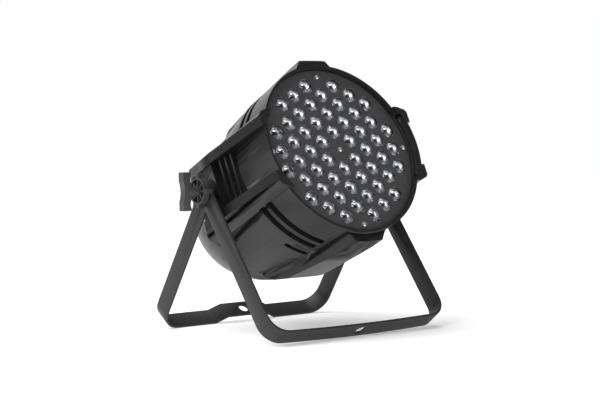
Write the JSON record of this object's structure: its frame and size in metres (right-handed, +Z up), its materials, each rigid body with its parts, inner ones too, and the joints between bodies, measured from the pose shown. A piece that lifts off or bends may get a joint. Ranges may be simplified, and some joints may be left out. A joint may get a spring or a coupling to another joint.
{
  "type": "par can light",
  "caption": "Cast LED par can stage light with a round lens face, vented drum body, tilting in a double floor-standing yoke with two hand knobs.",
  "frame": {"origin": "on the floor under the middle of the light's overall width and depth", "axes": "+Z up; +X to the right seen from the front, along the pivot; the light shines towards -Y, tilted 25.6 degrees up"},
  "size_m": [0.3308, 0.3022, 0.3313],
  "materials": {
    "cast_black": "satin black powder coat on die-cast aluminium",
    "yoke_steel": "satin black powder coat on steel strip",
    "face_black": "matt black coat on a stamped plate",
    "knob_plastic": "moulded black nylon",
    "zinc_steel": "bright zinc plate",
    "fibre_washer": "matt black fibre",
    "lens_clear": "clear moulded acrylic lens",
    "holder_black": "black moulded plastic",
    "board_white": "white solder mask on an aluminium board",
    "led_yellow": "yellow phosphor under silicone",
    "raw_aluminium": "bare aluminium",
    "board_green": "green circuit board",
    "wire_red": "insulated wire",
    "wire_blue": "insulated wire",
    "wire_grey": "insulated wire",
    "display_dark": "unlit display",
    "window_smoke": "smoked acrylic",
    "button_black": "rubbery black plastic",
    "socket_blue": "blue moulded socket",
    "socket_grey": "grey moulded socket",
    "contact_brass": "plated contact",
    "socket_black": "black moulded plastic",
    "pin_silver": "silver-plated pin",
    "fuse_glass": "glass fuse"
  },
  "bodies": {
    "front_yoke": {"front_yoke": "yoke_steel"},
    "rear_yoke": {"rear_yoke": "yoke_steel"},
    "clamp_l": {"clamp_washer_l": "zinc_steel"},
    "clamp_r": {"clamp_washer_r": "zinc_steel"},
    "hand_knob_l": {"knob_l": "knob_plastic", "knob_stud_l": "zinc_steel"},
    "hand_knob_r": {"knob_r": "knob_plastic", "knob_stud_r": "zinc_steel"},
    "fan": {"fan_rotor": "holder_black"},
    "button_1": {"menu_button_1": "button_black"},
    "button_2": {"menu_button_2": "button_black"},
    "button_3": {"menu_button_3": "button_black"},
    "button_4": {"menu_button_4": "button_black"},
    "fuse_cap": {"fuse_cap": "socket_black"},
    "dmx_latch": {"dmx_release": "zinc_steel"},
    "head": {"housing": "cast_black", "pivot_insert_l": "zinc_steel", "pivot_insert_r": "zinc_steel", "friction_washer_l": "fibre_washer", "friction_washer_r": "fibre_washer", "face_plate": "face_black", "face_screws": "zinc_steel", "lenses": "lens_clear", "lens_holders": "holder_black", "led_board": "board_white", "led_emitters": "led_yellow", "heat_sink": "raw_aluminium", "heat_sink_screws": "zinc_steel", "fan_frame": "holder_black", "fan_screws": "zinc_steel", "chassis_plate": "raw_aluminium", "chassis_screws": "zinc_steel", "power_supply": "raw_aluminium", "driver_board": "board_green", "led_wiring": "wire_red", "mains_wiring": "wire_blue", "signal_wiring": "wire_grey", "rear_cover": "cast_black", "rear_screws": "zinc_steel", "control_board": "board_green", "display": "display_dark", "display_window": "window_smoke", "power_in": "socket_blue", "power_out": "socket_grey", "power_in_contacts": "contact_brass", "power_out_contacts": "contact_brass", "dmx_in": "socket_black", "dmx_in_pins": "pin_silver", "dmx_out": "socket_black", "fuse_holder": "socket_black", "fuse_link": "fuse_glass", "safety_eye": "zinc_steel", "safety_nuts": "zinc_steel"}
  },
  "joints": [
    {"name": "head_tilt", "type": "hinge", "parent": "front_yoke", "child": "head", "pos_m": [0, -0.00145, 0.17683], "axis": [1, 0, 0], "range_deg": [-64.4, 115.6]},
    {"name": "rear_yoke_swing", "type": "hinge", "parent": "front_yoke", "child": "rear_yoke", "pos_m": [0, -0.00145, 0.17683], "axis": [1, 0, 0], "range_deg": [-71.7, 108.3]},
    {"name": "clamp_travel_l", "type": "slide", "parent": "front_yoke", "child": "clamp_l", "axis": [-1, 0, 0], "range_m": [0, 0.00156]},
    {"name": "knob_turn_l", "type": "hinge", "parent": "clamp_l", "child": "hand_knob_l", "pos_m": [-0.145, -0.00145, 0.17683], "axis": [-1, 0, 0], "range_deg": [0, 450]},
    {"name": "clamp_travel_r", "type": "slide", "parent": "front_yoke", "child": "clamp_r", "axis": [1, 0, 0], "range_m": [0, 0.00156]},
    {"name": "knob_turn_r", "type": "hinge", "parent": "clamp_r", "child": "hand_knob_r", "pos_m": [0.145, -0.00145, 0.17683], "axis": [1, 0, 0], "range_deg": [0, 450]},
    {"name": "fan_spin", "type": "hinge", "parent": "head", "child": "fan", "pos_m": [0, -0.03752, 0.19412], "axis": [0, -0.9018, 0.4321], "continuous": true},
    {"name": "button_1_press", "type": "slide", "parent": "head", "child": "button_1", "axis": [0, -0.9018, 0.4321], "range_m": [0, 0.0008], "stiffness_N_per_m": 600, "springref_m": -0.0008},
    {"name": "button_2_press", "type": "slide", "parent": "head", "child": "button_2", "axis": [0, -0.9018, 0.4321], "range_m": [0, 0.0008], "stiffness_N_per_m": 600, "springref_m": -0.0008},
    {"name": "button_3_press", "type": "slide", "parent": "head", "child": "button_3", "axis": [0, -0.9018, 0.4321], "range_m": [0, 0.0008], "stiffness_N_per_m": 600, "springref_m": -0.0008},
    {"name": "button_4_press", "type": "slide", "parent": "head", "child": "button_4", "axis": [0, -0.9018, 0.4321], "range_m": [0, 0.0008], "stiffness_N_per_m": 600, "springref_m": -0.0008},
    {"name": "fuse_cap_turn", "type": "hinge", "parent": "head", "child": "fuse_cap", "pos_m": [0, 0.12539, 0.1083], "axis": [0, 0.9018, -0.4321], "range_deg": [0, 90]},
    {"name": "dmx_latch_press", "type": "slide", "parent": "head", "child": "dmx_latch", "axis": [0, -0.9018, 0.4321], "range_m": [0, 0.0012], "stiffness_N_per_m": 600, "springref_m": -0.0008}
  ],
  "couplings": [
    {"joint": "knob_turn_l", "follows": "clamp_travel_l", "rad_per_m": 5026.5},
    {"joint": "knob_turn_r", "follows": "clamp_travel_r", "rad_per_m": 5026.5}
  ]
}
